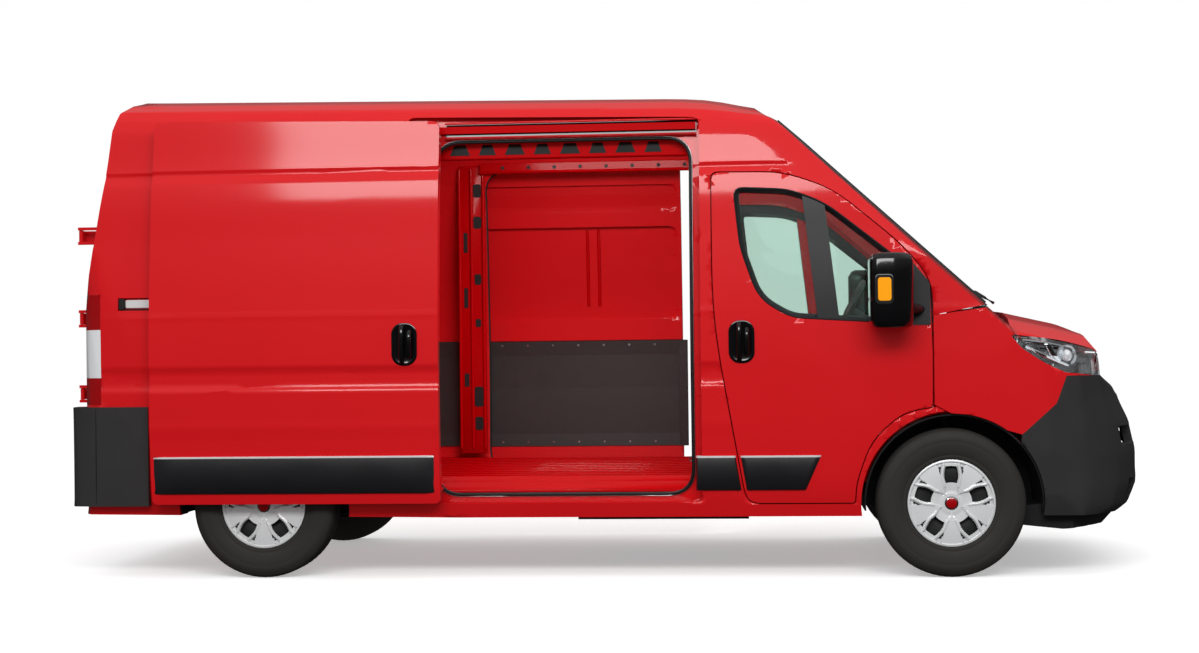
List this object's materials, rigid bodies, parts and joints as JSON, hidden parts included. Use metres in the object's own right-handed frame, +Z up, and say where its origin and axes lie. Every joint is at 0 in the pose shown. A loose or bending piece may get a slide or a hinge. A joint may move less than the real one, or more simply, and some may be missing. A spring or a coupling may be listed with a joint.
{
  "type": "panel van",
  "caption": "Medium-wheelbase, medium-roof panel van with a sliding door on each side, hinged cab doors, rear doors and bonnet, and steered front wheels.",
  "frame": {"origin": "on the ground under the middle of the length and width", "axes": "+X forwards, +Y to the left, +Z up"},
  "size_m": [5.413, 2.506, 2.5163],
  "materials": {
    "paint": "gloss",
    "dark_plastic": "grained",
    "black_plastic": "moulded",
    "clear_lens": "clear",
    "red_lens": "gloss",
    "glass": "tinted",
    "chassis_steel": "satin",
    "cast_steel": "raw",
    "bright_steel": "zinc",
    "tyre": "matt",
    "rim": "silver",
    "ply": "film-faced",
    "cloth": "woven",
    "dash_plastic": "grained"
  },
  "bodies": {
    "body": {"floor_pan": "paint", "load_floor": "paint", "wheel_boxes": "paint", "side_wall_right": "paint", "side_wall_left": "paint", "roof": "paint", "scuttle": "black_plastic", "wings": "paint", "front_bumper": "dark_plastic", "rear_bumper": "dark_plastic", "headlamps": "clear_lens", "tail_lamps": "red_lens", "windscreen": "glass", "hinge_pins": "bright_steel", "arch_liners": "black_plastic", "chassis_rails": "chassis_steel", "engine": "cast_steel", "front_suspension": "chassis_steel", "rear_axle": "chassis_steel", "exhaust": "bright_steel", "fuel_tank": "black_plastic", "slide_door_right": "paint", "slide_door_left": "paint", "slide_tracks": "bright_steel", "side_mouldings": "dark_plastic", "linings": "ply", "seats": "cloth", "dashboard": "dash_plastic"},
    "knuckle_right": {"knuckle_right": "cast_steel"},
    "knuckle_left": {"knuckle_left": "cast_steel"},
    "wheel_front_right": {"rim_front_right": "rim", "tyre_front_right": "tyre"},
    "wheel_front_left": {"rim_front_left": "rim", "tyre_front_left": "tyre"},
    "wheel_rear_right": {"rim_rear_right": "rim", "tyre_rear_right": "tyre"},
    "wheel_rear_left": {"rim_rear_left": "rim", "tyre_rear_left": "tyre"},
    "cab_door_right": {"cab_door_right": "paint", "door_glass_right": "glass", "mirror_right": "black_plastic"},
    "cab_door_left": {"cab_door_left": "paint", "door_glass_left": "glass", "mirror_left": "black_plastic"},
    "rear_door_right": {"rear_door_right": "paint"},
    "rear_door_left": {"rear_door_left": "paint"},
    "bonnet": {"bonnet": "paint"},
    "steering_wheel": {"steering_wheel": "black_plastic"}
  },
  "joints": [
    {"name": "steer_right", "type": "hinge", "parent": "body", "child": "knuckle_right", "pos_m": [1.7515, -0.835, 0.365], "axis": [0, 0, 1], "range_deg": [-35, 35]},
    {"name": "steer_left", "type": "hinge", "parent": "body", "child": "knuckle_left", "pos_m": [1.7515, 0.835, 0.365], "axis": [0, 0, 1], "range_deg": [-35, 35]},
    {"name": "spin_front_right", "type": "hinge", "parent": "knuckle_right", "child": "wheel_front_right", "pos_m": [1.7515, -0.905, 0.365], "axis": [0, 1, 0], "continuous": true},
    {"name": "spin_front_left", "type": "hinge", "parent": "knuckle_left", "child": "wheel_front_left", "pos_m": [1.7515, 0.905, 0.365], "axis": [0, 1, 0], "continuous": true},
    {"name": "spin_rear_right", "type": "hinge", "parent": "body", "child": "wheel_rear_right", "pos_m": [-1.6985, -0.89, 0.365], "axis": [0, 1, 0], "continuous": true},
    {"name": "spin_rear_left", "type": "hinge", "parent": "body", "child": "wheel_rear_left", "pos_m": [-1.6985, 0.89, 0.365], "axis": [0, 1, 0], "continuous": true},
    {"name": "cab_door_right_hinge", "type": "hinge", "parent": "body", "child": "cab_door_right", "pos_m": [1.7135, -0.979, 0.9], "axis": [0, 0, 1], "range_deg": [0, 68]},
    {"name": "cab_door_left_hinge", "type": "hinge", "parent": "body", "child": "cab_door_left", "pos_m": [1.7135, 0.979, 0.9], "axis": [0, 0, -1], "range_deg": [0, 68]},
    {"name": "rear_door_right_hinge", "type": "hinge", "parent": "body", "child": "rear_door_right", "pos_m": [-2.6905, -0.835, 1.2], "axis": [0, 0, 1], "range_deg": [0, 180]},
    {"name": "rear_door_left_hinge", "type": "hinge", "parent": "body", "child": "rear_door_left", "pos_m": [-2.6905, 0.835, 1.2], "axis": [0, 0, -1], "range_deg": [0, 180]},
    {"name": "bonnet_hinge", "type": "hinge", "parent": "body", "child": "bonnet", "pos_m": [2.0715, 0, 1.285], "axis": [0, -1, 0], "range_deg": [0, 50]},
    {"name": "steering_wheel_turn", "type": "hinge", "parent": "body", "child": "steering_wheel", "pos_m": [1.3165, 0.43, 1.33], "axis": [-0.8829, 0, 0.4695], "range_deg": [-560, 560]}
  ],
  "couplings": [
    {"joint": "steer_left", "follows": "steer_right", "ratio": 1},
    {"joint": "steering_wheel_turn", "follows": "steer_right", "ratio": 16}
  ]
}
